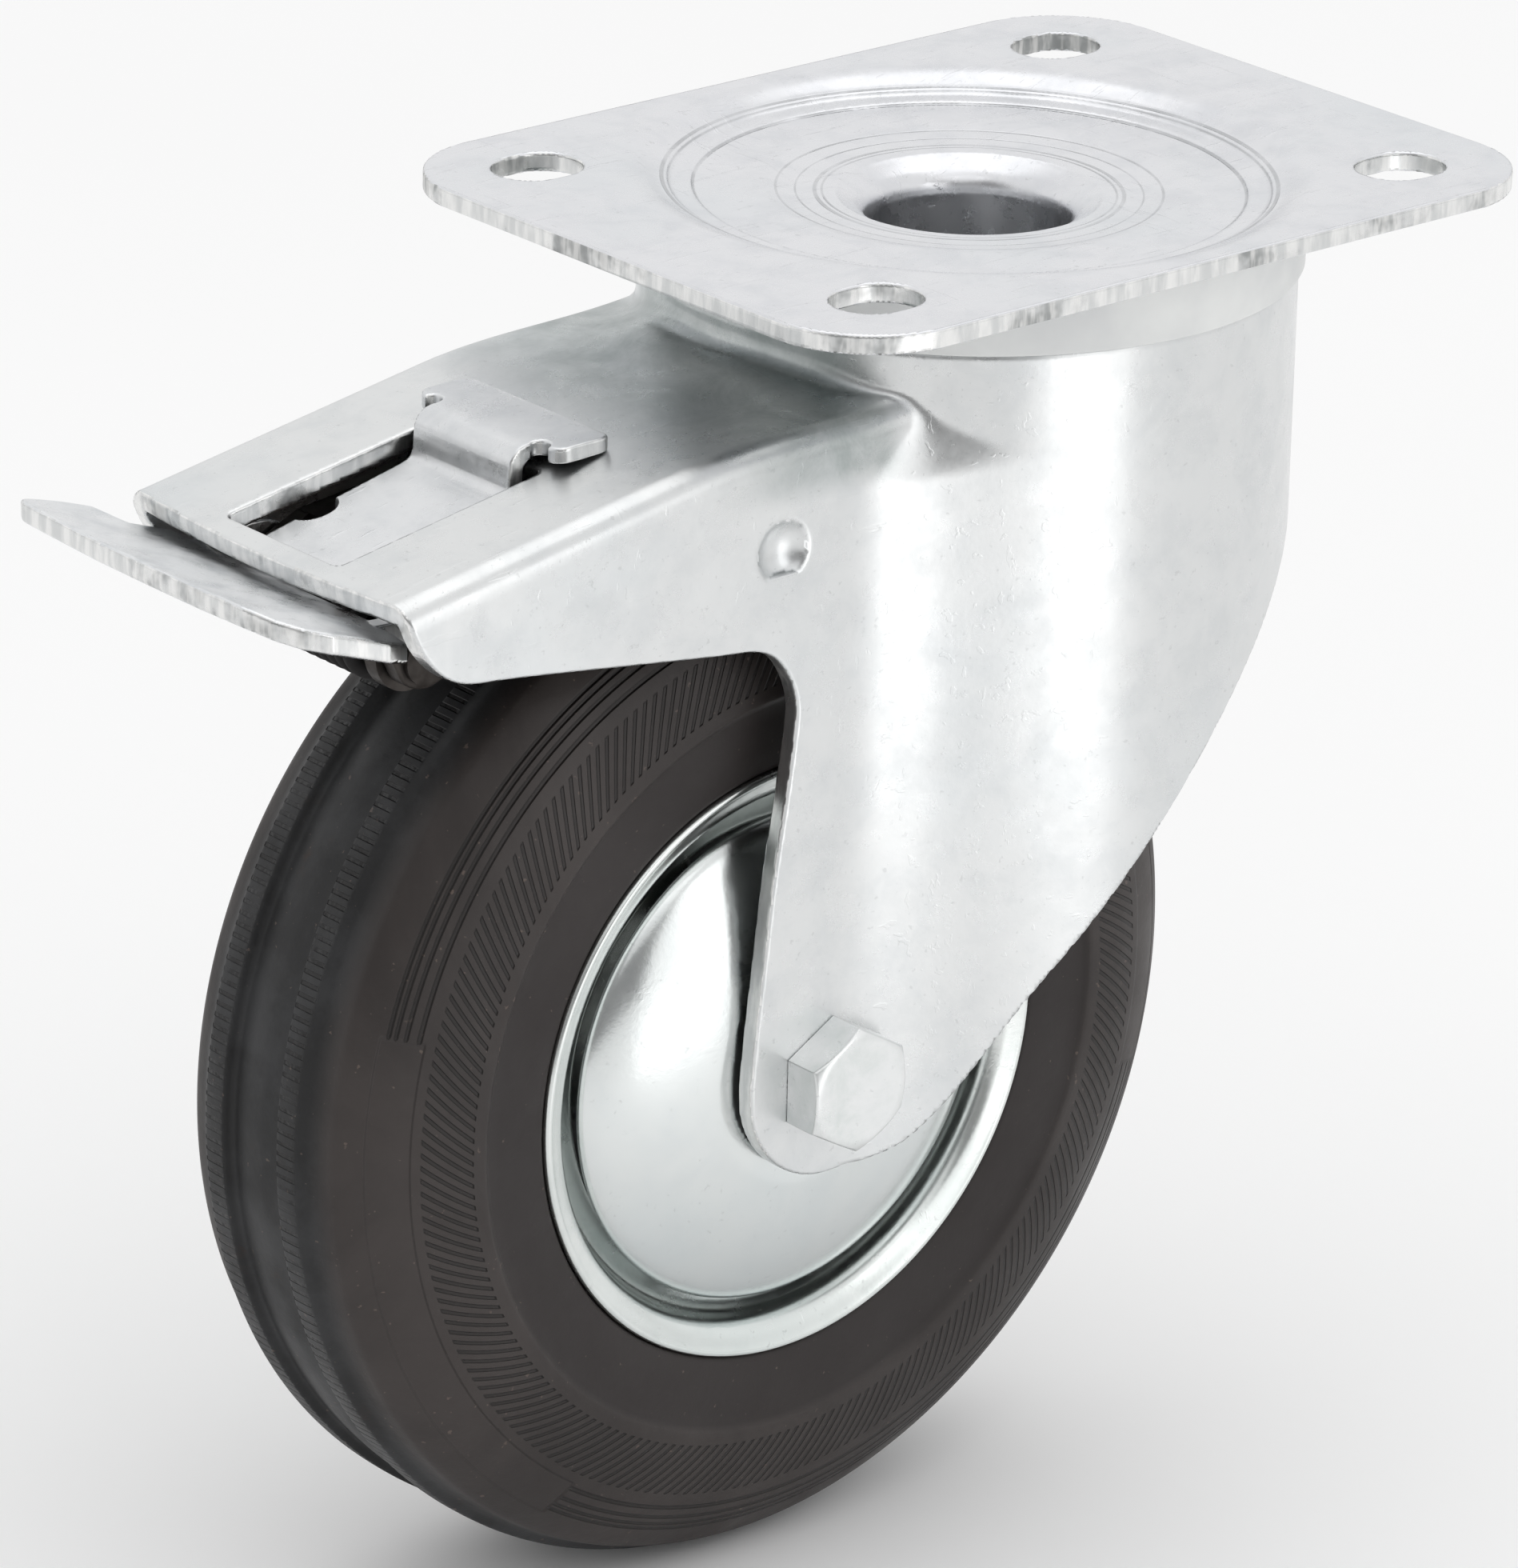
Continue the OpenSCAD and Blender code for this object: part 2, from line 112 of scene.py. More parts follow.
def curve(points, steps=6, closed=False):
    """Smooth Catmull-Rom curve through 2D points."""
    p = [np.array(q, float) for q in points]
    n = len(p)
    out = []
    for i in range(n if closed else n - 1):
        a = p[i - 1] if (closed or i > 0) else p[i]
        b, c = p[i], p[(i + 1) % n]
        d = p[(i + 2) % n] if (closed or i + 2 < n) else c
        for k in range(steps):
            t = k / steps
            out.append(0.5 * (2 * b + (c - a) * t + (2 * a - 5 * b + 4 * c - d) * t * t
                              + (3 * b - a - 3 * c + d) * t ** 3))
    if not closed:
        out.append(p[-1])
    return [tuple(q) for q in out]


def outline_distance(points, u, v):
    """Signed distance from (u, v) to a closed outline, negative inside."""
    nearest = np.full(np.broadcast(u, v).shape, 1e9)
    inside = np.zeros(nearest.shape, bool)
    for (ax, ay), (bx, by) in zip(points, points[1:] + points[:1]):
        ex, ey = bx - ax, by - ay
        length = ex * ex + ey * ey
        if length < 1e-12:
            continue
        t = np.clip(((u - ax) * ex + (v - ay) * ey) / length, 0.0, 1.0)
        nearest = np.minimum(nearest, (u - ax - t * ex) ** 2 + (v - ay - t * ey) ** 2)
        if ay != by:
            crosses = (ay > v) != (by > v)
            inside ^= crosses & (u < ex * (v - ay) / (by - ay) + ax)
    return np.where(inside, -1.0, 1.0) * np.sqrt(nearest)


def tabulated(points, margin=6.0, step=0.2):
    """The outline's distance as a quick function of (u, v), read from a fine table."""
    low = np.min(points, axis=0) - margin
    high = np.max(points, axis=0) + margin
    count = np.ceil((high - low) / step).astype(int) + 1
    u = low[0] + step * np.arange(count[0])[:, None]
    v = low[1] + step * np.arange(count[1])[None, :]
    table = outline_distance(points, u, v)

    def read(a, b):
        fa = np.clip((a - low[0]) / step, 0, count[0] - 1.001)
        fb = np.clip((b - low[1]) / step, 0, count[1] - 1.001)
        i, j = fa.astype(int), fb.astype(int)
        s, t = fa - i, fb - j
        return ((table[i, j] * (1 - s) + table[i + 1, j] * s) * (1 - t)
                + (table[i, j + 1] * (1 - s) + table[i + 1, j + 1] * s) * t)

    return read


# ---------------------------------------------------------------- meshing

CORNERS = [(i, j, k) for i in (0, 1) for j in (0, 1) for k in (0, 1)]
EDGES = [(a, b) for a in CORNERS for b in CORNERS if sum(b) - sum(a) == 1
         and all(q >= p for p, q in zip(a, b))]


def net_vertices(v, cells, low, step):
    """One vertex in each crossed cell, at the mean of its edges' crossings."""
    total = np.zeros((len(cells[0]), 3))
    count = np.zeros(len(cells[0]))
    for a, b in EDGES:
        va = v[cells[0] + a[0], cells[1] + a[1], cells[2] + a[2]]
        vb = v[cells[0] + b[0], cells[1] + b[1], cells[2] + b[2]]
        crossed = (va < 0) != (vb < 0)
        t = np.where(crossed, va / np.where(crossed, va - vb, 1.0), 0.0)
        for d in range(3):
            total[:, d] += crossed * (a[d] + t * (b[d] - a[d]))
        count += crossed
    grid = np.stack(cells, axis=1)
    return np.array(low) + step * (grid + total / count[:, None])


def net_faces(v, index):
    """One quad around each crossed grid edge, facing outwards."""
    faces = []
    for d in range(3):
        e, f = (d + 1) % 3, (d + 2) % 3
        first, last = [slice(1, -1)] * 3, [slice(1, -1)] * 3
        first[d], last[d] = slice(None, -1), slice(1, None)
        a, b = v[tuple(first)] < 0, v[tuple(last)] < 0
        at = list(np.nonzero(a != b))
        outward = a[tuple(at)]
        at[e] = at[e] + 1
        at[f] = at[f] + 1
        quad = []
        for de, df in ((-1, -1), (0, -1), (0, 0), (-1, 0)):
            cell = list(at)
            cell[e], cell[f] = at[e] + de, at[f] + df
            quad.append(index[tuple(cell)])
        quad = np.stack(quad, axis=1)
        faces.append(np.where(outward[:, None], quad, quad[:, ::-1]))
    return np.concatenate(faces)


def gradient(field, p, h=0.04):
    g = []
    for d in range(3):
        a, b = p.copy(), p.copy()
        a[:, d] -= h
        b[:, d] += h
        g.append((field(*b.T) - field(*a.T)) / (2 * h))
    return np.stack(g, axis=1)


def field_mesh(name, field, low, high, step):
    """Closed mesh of a field's zero surface, with normals taken from the field itself."""
    count = [int(math.ceil((b - a) / step)) + 1 for a, b in zip(low, high)]
    axes = [a + step * np.arange(n) for a, n in zip(low, count)]
    x, y, z = axes[0][:, None, None], axes[1][None, :, None], axes[2][None, None, :]
    v = np.broadcast_to(field(x, y, z), count).astype(np.float32)
    sign = v < 0
    inside = sum(sign[i:count[0] - 1 + i, j:count[1] - 1 + j, k:count[2] - 1 + k]
                 .astype(np.int8) for i, j, k in CORNERS)
    cells = np.nonzero((inside > 0) & (inside < 8))
    index = np.full([n - 1 for n in count], -1, np.int64)
    index[cells] = np.arange(len(cells[0]))
    p = net_vertices(v, cells, low, step)
    for _ in range(4):
        g = gradient(field, p)
        move = field(*p.T)[:, None] * g / np.maximum((g * g).sum(1), 0.25)[:, None]
        p = p - np.clip(move, -0.6 * step, 0.6 * step)
    g = gradient(field, p)
    normals = g / np.maximum(np.linalg.norm(g, axis=1), 1e-9)[:, None]
    return new_mesh(name, p, net_faces(v, index), normals)


def new_mesh(name, points, faces, normals=None):
    """Object from points in mm and equal-sided faces."""
    faces = np.asarray(faces)
    mesh = bpy.data.meshes.new(name)
    mesh.vertices.add(len(points))
    mesh.vertices.foreach_set("co", (np.asarray(points, float) * MM).ravel())
    sides = faces.shape[1]
    mesh.loops.add(faces.size)
    mesh.loops.foreach_set("vertex_index", faces.ravel())
    mesh.polygons.add(len(faces))
    mesh.polygons.foreach_set("loop_start", np.arange(0, faces.size, sides))
    mesh.update(calc_edges=True)
    mesh.validate()
    mesh.polygons.foreach_set("use_smooth", np.ones(len(mesh.polygons), bool))
    if normals is not None:
        mesh.normals_split_custom_set_from_vertices(normals.tolist())
    obj = bpy.data.objects.new(name, mesh)
    bpy.context.collection.objects.link(obj)
    return obj


def lathe(name, profile, turns=256, about_axle=True, crease=32.0):
    """Revolves a closed profile, (radius, along) in mm, about the axle or the swivel axis."""
    profile = np.array(profile, float)
    n = len(profile)
    angle = np.linspace(0, 2 * math.pi, turns, endpoint=False)
    c, s = np.cos(angle)[:, None], np.sin(angle)[:, None]
    r, h = profile[None, :, 0], profile[None, :, 1] + 0 * angle[:, None]
    if about_axle:
        points = np.stack([AXLE_X + r * c, h, AXLE_Z + r * s], axis=2)
    else:
        points = np.stack([r * c, r * s, h], axis=2)
    i, j = np.meshgrid(np.arange(turns), np.arange(n), indexing="ij")
    i2, j2 = (i + 1) % turns, (j + 1) % n
    faces = np.stack([i * n + j, i2 * n + j, i2 * n + j2, i * n + j2], axis=2)
    area = np.sum(profile[:, 0] * np.roll(profile[:, 1], -1)
                  - np.roll(profile[:, 0], -1) * profile[:, 1])
    faces = faces.reshape(-1, 4)
    if (area > 0) != about_axle:
        faces = faces[:, ::-1]
    obj = new_mesh(name, points.reshape(-1, 3), faces)
    obj.data.set_sharp_from_angle(angle=math.radians(crease))
    return obj


def cut_faces(obj, *looks):
    """Gives faces, found by each look's test(centres in mm, normals), that look's material."""
    mesh = obj.data
    count = len(mesh.polygons)
    centre, normal = np.empty(count * 3), np.empty(count * 3)
    mesh.polygons.foreach_get("center", centre)
    mesh.polygons.foreach_get("normal", normal)
    chosen = np.zeros(count, np.int32)
    for index, (test, material) in enumerate(looks, 1):
        chosen[test(centre.reshape(-1, 3) / MM, normal.reshape(-1, 3))] = index
        mesh.materials.append(material)
    mesh.polygons.foreach_set("material_index", chosen)
    return obj


def steep(p, normal):
    """Sheared edges of a part that lies about level."""
    return np.abs(normal[:, 2]) < 0.62


def side_cut(p, normal):
    """Sheared long edges of a strip along X, whose bends keep their skin."""
    return np.abs(normal[:, 1]) > 0.55


def plate_edge(p, normal):
    """Sheared edges of the top plate, its holes included, but not the dish."""
    return steep(p, normal) & (np.hypot(p[:, 0], p[:, 1]) > DISH_TO)


def put(obj, body, material, slot, *nodes):
    """Gives a piece its material and body, in place of the CAD nodes it stands for."""
    slots = obj.data.materials
    slots.append(material)
    for index in range(len(slots) - 1, 0, -1):
        slots[index] = slots[index - 1]
    slots[0] = material
    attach(obj, body)
    if nodes:
        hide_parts(*nodes)
    return obj


# ---------------------------------------------------------------- materials


class Nodes:
    """A material's node tree, with short calls to build it."""

    def __init__(self, name, metallic, roughness, specular=0.5):
        self.material = bpy.data.materials.new(name)
        self.material.use_nodes = True
        self.tree = self.material.node_tree
        self.shader = self.tree.nodes["Principled BSDF"]
        self.shader.inputs["Metallic"].default_value = metallic
        self.shader.inputs["Roughness"].default_value = roughness
        self.shader.inputs["Specular IOR Level"].default_value = specular
        self.place = self.tree.nodes.new("ShaderNodeTexCoord").outputs["Object"]

    def link(self, a, b):
        self.tree.links.new(a, b)

    def feed(self, socket, value):
        if isinstance(value, (int, float, tuple, list)):
            socket.default_value = value
        else:
            self.link(value, socket)

    def math(self, operation, a, b=0.0, c=0.0):
        node = self.tree.nodes.new("ShaderNodeMath")
        node.operation = operation
        for socket, value in zip(node.inputs, (a, b, c)):
            self.feed(socket, value)
        return node.outputs[0]

    def axes(self):
        """The place's X, Y and Z, in metres."""
        split = self.tree.nodes.new("ShaderNodeSeparateXYZ")
        self.link(self.place, split.inputs[0])
        return split.outputs["X"], split.outputs["Y"], split.outputs["Z"]

    def length(self, a, b):
        squares = self.math("ADD", self.math("MULTIPLY", a, a), self.math("MULTIPLY", b, b))
        return self.math("SQRT", squares)

    def band(self, value, low, high, soft):
        """1 where value lies between low and high, 0 outside, all in mm."""
        up = self.span(value, (low - soft) * MM, (low + soft) * MM, 0.0, 1.0)
        down = self.span(value, (high - soft) * MM, (high + soft) * MM, 1.0, 0.0)
        return self.math("MULTIPLY", up, down)

    def lines(self, radius, rings, soft):
        """1 on thin rings, each given by its middle radius and half width in mm."""
        found = None
        for middle, half in rings:
            line = self.band(radius, middle - half, middle + half, soft)
            found = line if found is None else self.math("MAXIMUM", found, line)
        return found

    def noise(self, scale, detail=4.0, roughness=0.55, stretch=None, distortion=0.0):
        node = self.tree.nodes.new("ShaderNodeTexNoise")
        node.inputs["Scale"].default_value = scale
        node.inputs["Detail"].default_value = detail
        node.inputs["Roughness"].default_value = roughness
        node.inputs["Distortion"].default_value = distortion
        place = self.place
        if stretch:
            mapping = self.tree.nodes.new("ShaderNodeMapping")
            mapping.inputs["Scale"].default_value = stretch
            self.link(place, mapping.inputs["Vector"])
            place = mapping.outputs["Vector"]
        self.link(place, node.inputs["Vector"])
        return node.outputs["Fac"]

    def span(self, value, low, high, to_low, to_high):
        node = self.tree.nodes.new("ShaderNodeMapRange")
        node.interpolation_type = "SMOOTHSTEP"
        self.link(value, node.inputs["Value"])
        for key, number in (("From Min", low), ("From Max", high), ("To Min", to_low),
                            ("To Max", to_high)):
            node.inputs[key].default_value = number
        return node.outputs["Result"]

    def mix(self, share, a, b):
        node = self.tree.nodes.new("ShaderNodeMix")
        node.data_type = "RGBA"
        self.feed(node.inputs["Factor"], share)
        self.feed(node.inputs["A"], a)
        self.feed(node.inputs["B"], b)
        return node.outputs["Result"]

    def bump(self, height, distance, strength=1.0, normal=None):
        node = self.tree.nodes.new("ShaderNodeBump")
        node.inputs["Strength"].default_value = strength
        node.inputs["Distance"].default_value = distance
        self.link(height, node.inputs["Height"])
        if normal is not None:
            self.link(normal, node.inputs["Normal"])
        return node.outputs["Normal"]

    def done(self, color, roughness=None, normal=None):
        self.link(color, self.shader.inputs["Base Color"])
        if roughness is not None:
            self.link(roughness, self.shader.inputs["Roughness"])
        if normal is not None:
            self.link(normal, self.shader.inputs["Normal"])
        return self.material


def round_lines(n, rings):
    """1 on thin rings round the swivel axis, broken up a little along their length."""
    x, y, _ = n.axes()
    lines = n.lines(n.length(x, y), rings, 0.08)
    return n.math("MULTIPLY", lines, n.span(n.noise(90, 4, 0.6), 0.35, 0.62, 0.35, 1.0))


# where the snout's top is painted with shade next to the swivel, mm: distance from the swivel axis,
# height and length
SHADE_FULL, SHADE_END = 46.0, 66.0
SHADE_LOW, SHADE_HIGH = -24.0, -20.0
SHADE_FRONT, SHADE_BACK = -34.0, -30.0


def swivel_shade_mask(n):
    """1 where the snout's top is darkened with painted shade next to the swivel, mottled, 0 away
    from it.
    """
    x, y, z = n.axes()
    near = n.span(n.length(x, y), SHADE_FULL * MM, SHADE_END * MM, 1.0, 0.0)
    mottle = n.span(n.noise(110, 6, 0.75, distortion=0.6), 0.25, 0.75, 0.45, 1.0)
    level = n.math("MULTIPLY", n.span(z, SHADE_LOW * MM, SHADE_HIGH * MM, 0.0, 1.0),
                   n.span(x, SHADE_FRONT * MM, SHADE_BACK * MM, 1.0, 0.0))
    return n.math("MULTIPLY", n.math("MULTIPLY", near, mottle), level)


def zinc(name, light=(0.73, 0.74, 0.74, 1), dark=(0.67, 0.685, 0.69, 1),
         film=(0.66, 0.70, 0.72, 1), rough=(0.25, 0.36), scratches=0.5, swivel_shade=0.0,
         rings=()):
    """Bright zinc plate: faintly clouded, with a blue film, fine grain and hairline scratches.

    grime is how strongly the sheet's top next to the swivel is darkened, a painted shade; rings are
    the (radius, half width) in mm of the fine lines turned or pressed round the swivel axis,
    darkened in colour as painted shade.
    """
    n = Nodes(name, 1.0, 0.3)
    clouds = n.noise(150, 6, 0.65, distortion=0.3)
    color = n.mix(n.span(clouds, 0.40, 0.72, 0.0, 1.0), light, dark)
    blush = n.span(n.noise(26, 3, 0.5), 0.48, 0.70, 0.0, 0.35)
    color = n.mix(blush, color, film)
    speck = n.span(n.noise(1000, 3, 0.7), 0.30, 0.36, 0.3, 0.0)
    color = n.mix(speck, color, (0.42, 0.43, 0.43, 1))
    # painted shade: the sheet's top next to the swivel is darkened, standing in for the shaded plate
    # underside seen in it
    if swivel_shade:
        painted_shade = n.math("MULTIPLY", swivel_shade_mask(n), swivel_shade)
        color = n.mix(painted_shade, color, (0.20, 0.245, 0.235, 1))
    roughness = n.span(n.noise(220, 6, 0.65), 0.3, 0.7, *rough)
    along = n.noise(70, 3, 0.6, stretch=(1.0, 14.0, 9.0))
    across = n.noise(55, 3, 0.6, stretch=(12.0, 1.0, 5.0))
    marks = n.math("MAXIMUM", n.span(along, 0.64, 0.68, 0, 1), n.span(across, 0.67, 0.70, 0, 1))
    normal = n.bump(marks, 0.00002, scratches)
    if rings:
        lines = round_lines(n, rings)
        # painted shade: the fine rings are darkened in colour, standing in for the shade in their
        # creases
        color = n.mix(n.math("MULTIPLY", lines, 0.6), color, (0.33, 0.34, 0.35, 1))
        normal = n.bump(n.math("SUBTRACT", 1.0, lines), 0.00008, 0.8, normal)
    normal = n.bump(n.noise(1400, 2, 0.6), 0.000025, 0.4, normal)
    return n.done(color, roughness, normal)


def cut_zinc(name):
    """Sheared edge of zinc sheet: burnished, with darker torn stretches and faint streaks."""
    n = Nodes(name, 1.0, 0.3)
    streaks = n.noise(420, 3, 0.6, stretch=(1.5, 1.5, 0.3))
    torn = n.span(n.noise(48, 5, 0.7), 0.50, 0.62, 0.0, 1.0)
    fine = n.mix(n.span(streaks, 0.35, 0.65, 0, 1), (0.66, 0.67, 0.67, 1), (0.86, 0.86, 0.85, 1))
    rough_part = n.mix(n.span(streaks, 0.4, 0.6, 0, 1), (0.26, 0.27, 0.27, 1),
                       (0.62, 0.62, 0.61, 1))
    color = n.mix(n.math("MULTIPLY", torn, 0.75), fine, rough_part)
    return n.done(color, n.span(torn, 0, 1, 0.26, 0.45), n.bump(streaks, 0.00005, 0.35))


def steel(name, light, dark, rough):
    """Plain turned or drawn steel with slight clouding and fine grain."""
    n = Nodes(name, 1.0, 0.4)
    clouds = n.noise(160, 5, 0.6)
    color = n.mix(n.span(clouds, 0.35, 0.68, 0, 1), light, dark)
    return n.done(color, n.span(clouds, 0.3, 0.7, *rough), n.bump(n.noise(1500, 2), 0.00002, 0.4))


def seal_plastic():
    n = Nodes("seal_plastic", 0.0, 0.5, 0.4)
    clouds = n.noise(70, 4, 0.6)
    color = n.mix(n.span(clouds, 0.35, 0.7, 0, 1), (0.76, 0.77, 0.76, 1), (0.68, 0.69, 0.69, 1))
    return n.done(color, n.span(clouds, 0.3, 0.7, 0.42, 0.6), n.bump(n.noise(900, 3), 0.00004, 0.4))


# tyre marks, mm: bands and grooves by radius on the side, and teeth, shoulder, darker tread and rust
# stains by distance from the middle of the tread
HATCH_IN, HATCH_OUT = 46.0, 52.2
HATCH_COUNT, HATCH_LEAN = 216, 0.81
SIDE_GROOVES = ((54.1, 0.22), (55.5, 0.18), (56.5, 0.16), (57.2, 0.16))
PANEL_IN, PANEL_OUT = 53.4, 57.9
PANEL_FROM, PANEL_TO = math.radians(164), math.radians(236)
TOOTH_COUNT, TOOTH_IN, TOOTH_OUT = 300, 5.0, 7.9
SHOULDER_Y = 9.0
INNER_R = 44.0
TREAD_Y, TREAD_END_Y = 8.5, 12.5
RUST_END_Y = 14.0


def panel_mask(n, angle):
    """1 inside the two smooth panels on each side of the tyre, half a turn apart."""
    middle = (PANEL_FROM + PANEL_TO) / 2
    reach = math.cos(PANEL_TO - PANEL_FROM)
    turned = n.math("SUBTRACT", n.math("MULTIPLY", angle, 2.0), 2 * middle)
    return n.span(n.math("COSINE", turned), reach - 0.012, reach + 0.012, 0.0, 1.0)


def tyre_marks(n, radius, angle, y):
    """The side's cuts and grooves, how deep the side is sunk, and the tread's teeth."""
    lean = HATCH_COUNT * HATCH_LEAN / ((HATCH_IN + HATCH_OUT) / 2 * MM)
    phase = n.math("ADD", n.math("MULTIPLY", angle, HATCH_COUNT), n.math("MULTIPLY", radius, lean))
    cuts = n.span(n.math("SINE", phase), 0.15, 0.75, 0.0, 1.0)
    cuts = n.math("MULTIPLY", cuts, n.band(radius, HATCH_IN, HATCH_OUT, 0.12))
    panel = panel_mask(n, angle)
    grooves = n.lines(radius, SIDE_GROOVES, 0.12)
    grooves = n.math("MULTIPLY", grooves, n.math("SUBTRACT", 1.0, panel))
    plain = n.math("MULTIPLY", panel, n.band(radius, PANEL_IN, PANEL_OUT, 0.15))
    lined = n.math("MAXIMUM", cuts, grooves)
    sunk = n.math("MAXIMUM", lined, n.math("MULTIPLY", plain, 0.45))
    side = n.span(y, SHOULDER_Y * MM, (SHOULDER_Y + 1.5) * MM, 0.0, 1.0)
    sunk = n.math("MULTIPLY", sunk, side)

    teeth = n.span(n.math("SINE", n.math("MULTIPLY", angle, TOOTH_COUNT)), 0.1, 0.7, 0.0, 1.0)
    worn = n.span(n.noise(150, 4, 0.6), 0.35, 0.6, 0.15, 1.0)
    teeth = n.math("MULTIPLY", n.math("MULTIPLY", teeth, worn),
                   n.band(y, TOOTH_IN, TOOTH_OUT, 0.2))
    return lined, sunk, teeth


def tyre_color(n, radius, y):
    """Dusty brown-black sides, a darker inner ring and a darker, bluish, stained tread."""
    dust = n.noise(30, 6, 0.62, distortion=0.8)
    color = n.mix(n.span(dust, 0.36, 0.70, 0, 1), (0.031, 0.0255, 0.024, 1),
                  (0.047, 0.039, 0.0365, 1))
    inner = n.span(radius, (INNER_R - 0.4) * MM, (INNER_R + 0.4) * MM, 1.0, 0.0)
    color = n.mix(n.math("MULTIPLY", inner, 0.75), color, (0.022, 0.0175, 0.017, 1))
    tread = n.span(y, TREAD_Y * MM, TREAD_END_Y * MM, 1.0, 0.0)
    tread_tone = n.mix(n.span(n.noise(70, 5, 0.65), 0.4, 0.62, 0, 1), (0.013, 0.0135, 0.0145, 1),
                       (0.030, 0.031, 0.033, 1))
    color = n.mix(n.math("MULTIPLY", tread, 0.9), color, tread_tone)
    stain = n.math("MULTIPLY", n.span(n.noise(95, 6, 0.72), 0.60, 0.72, 0, 0.7),
                   n.span(y, 0.0, RUST_END_Y * MM, 1.0, 0.0))
    color = n.mix(stain, color, (0.040, 0.024, 0.018, 1))
    specks = n.span(n.noise(1100, 2, 0.5), 0.70, 0.76, 0.0, 0.5)
    return n.mix(specks, color, (0.16, 0.12, 0.10, 1))


def tyre_rubber():
    """Black rubber with moulded hatching, thin grooves and tread teeth darkened with painted shade,
    dust and rust stains.
    """
    n = Nodes("tyre_rubber", 0.0, 0.5, 0.35)
    x, y, z = n.axes()
    x = n.math("SUBTRACT", x, AXLE_X * MM)
    z = n.math("SUBTRACT", z, AXLE_Z * MM)
    y = n.math("ABSOLUTE", y)
    radius = n.length(x, z)
    lined, sunk, teeth = tyre_marks(n, radius, n.math("ARCTAN2", z, x), y)
    height = n.math("SUBTRACT", n.math("SUBTRACT", 1.0, sunk), n.math("MULTIPLY", teeth, 0.7))
    normal = n.bump(height, 0.0005, 1.0)
    normal = n.bump(n.noise(600, 5, 0.65), 0.00014, 0.4, normal)
    # painted shade: the hatching, grooves and teeth are darkened in colour as if shaded in their
    # hollows
    hollow_shade = n.math("MULTIPLY", n.math("MAXIMUM", lined, teeth), 0.65)
    color = n.mix(hollow_shade, tyre_color(n, radius, y), (0.010, 0.0085, 0.008, 1))
    roughness = n.span(n.noise(60, 5, 0.6), 0.3, 0.7, 0.42, 0.60)
    return n.done(color, roughness, normal)


# heights between which the pedal's spring turns darker towards the bottom, mm
SPRING_DARK_LOW, SPRING_DARK_HIGH = -29.0, -26.5


def rust_brown():
    """Rusty wire, turning near black towards its lower half."""
    n = Nodes("rust_brown", 0.0, 0.8, 0.3)
    spots = n.noise(420, 5, 0.7)
    color = n.mix(n.span(spots, 0.35, 0.65, 0, 1), (0.030, 0.016, 0.010, 1), (0.10, 0.055, 0.035, 1))
    lower_dark = n.span(n.axes()[2], SPRING_DARK_LOW * MM, SPRING_DARK_HIGH * MM, 1.0, 0.0)
    color = n.mix(lower_dark, color, (0.012, 0.011, 0.011, 1))
    return n.done(color, None, n.bump(spots, 0.0003, 0.6))


# ---------------------------------------------------------------- top plate


def plate_profile():
    """Section of the dish and drawn kingpin, (radius, z), as one closed outline."""
    dish = curve([(39.6, 0), (38.4, -0.05), (36.9, -0.45), (35.3, -1.2), (34.4, -1.45)], 5)
    ring = curve([(34.0, -1.62), (33.6, -2.0), (32.9, -2.12), (31.6, -2.15)], 4)
    floor = curve([(31.2, -2.35), (30.7, -2.55), (27, -2.5), (23.6, -2.45), (21.8, -2.7),
                   (19, -3.0), (16.6, -3.05), (15.0, -3.2)], 5)
    throat = curve([(14.6, -3.45), (13.6, -3.95), (12.6, -4.6), (11.8, -5.6), (11.5, -7)], 5)
    foot = [(11.5, -20.2), (11.9, -20.6), (17.5, -20.6), (17.5, -18.6), (14, -18.6)]
    under = curve([(14, -8.2), (14.5, -6.9), (15.8, -5.6), (18, -5.1), (22, -5), (30.8, -4.8),
                   (33.2, -4.35), (34.6, -3.75), (36.2, -2.95), (37.8, -2.35), (39.6, -2.3)], 4)
    return dish + ring + floor + throat + foot + under


def slot_distance(x, y):
    dx = np.maximum(np.abs(x) - (SLOT_L - SLOT_W) / 2, 0.0)
    return np.hypot(dx, y) - SLOT_W / 2


def plate_field():
    section = tabulated(plate_profile())

    def field(x, y, z):
        qx = np.abs(x) - (PLATE_L / 2 - PLATE_R)
        qy = np.abs(y) - (PLATE_W / 2 - PLATE_R)
        edge = (np.hypot(np.maximum(qx, 0), np.maximum(qy, 0))
                + np.minimum(np.maximum(qx, qy), 0) - PLATE_R)
        hole = slot_distance(np.abs(x) - HOLE_X / 2, np.abs(y) - HOLE_Y / 2)
        r = np.hypot(x, y)
        plan = np.maximum(np.maximum(edge, -hole), SLAB_FROM - r)
        slab = round_max(plan, np.abs(z + PLATE_T / 2) - PLATE_T / 2, 0.3)
        dish = np.maximum(section(r, z), r - DISH_TO)
        return np.minimum(slab, dish)

    return field


# ---------------------------------------------------------------- fork


def snout_point(s, w):
    """s along the snout's top from its front edge, w above it."""
    return (NOSE_X + s * math.cos(SLOPE) - w * math.sin(SLOPE),
            NOSE_Z + s * math.sin(SLOPE) + w * math.cos(SLOPE))


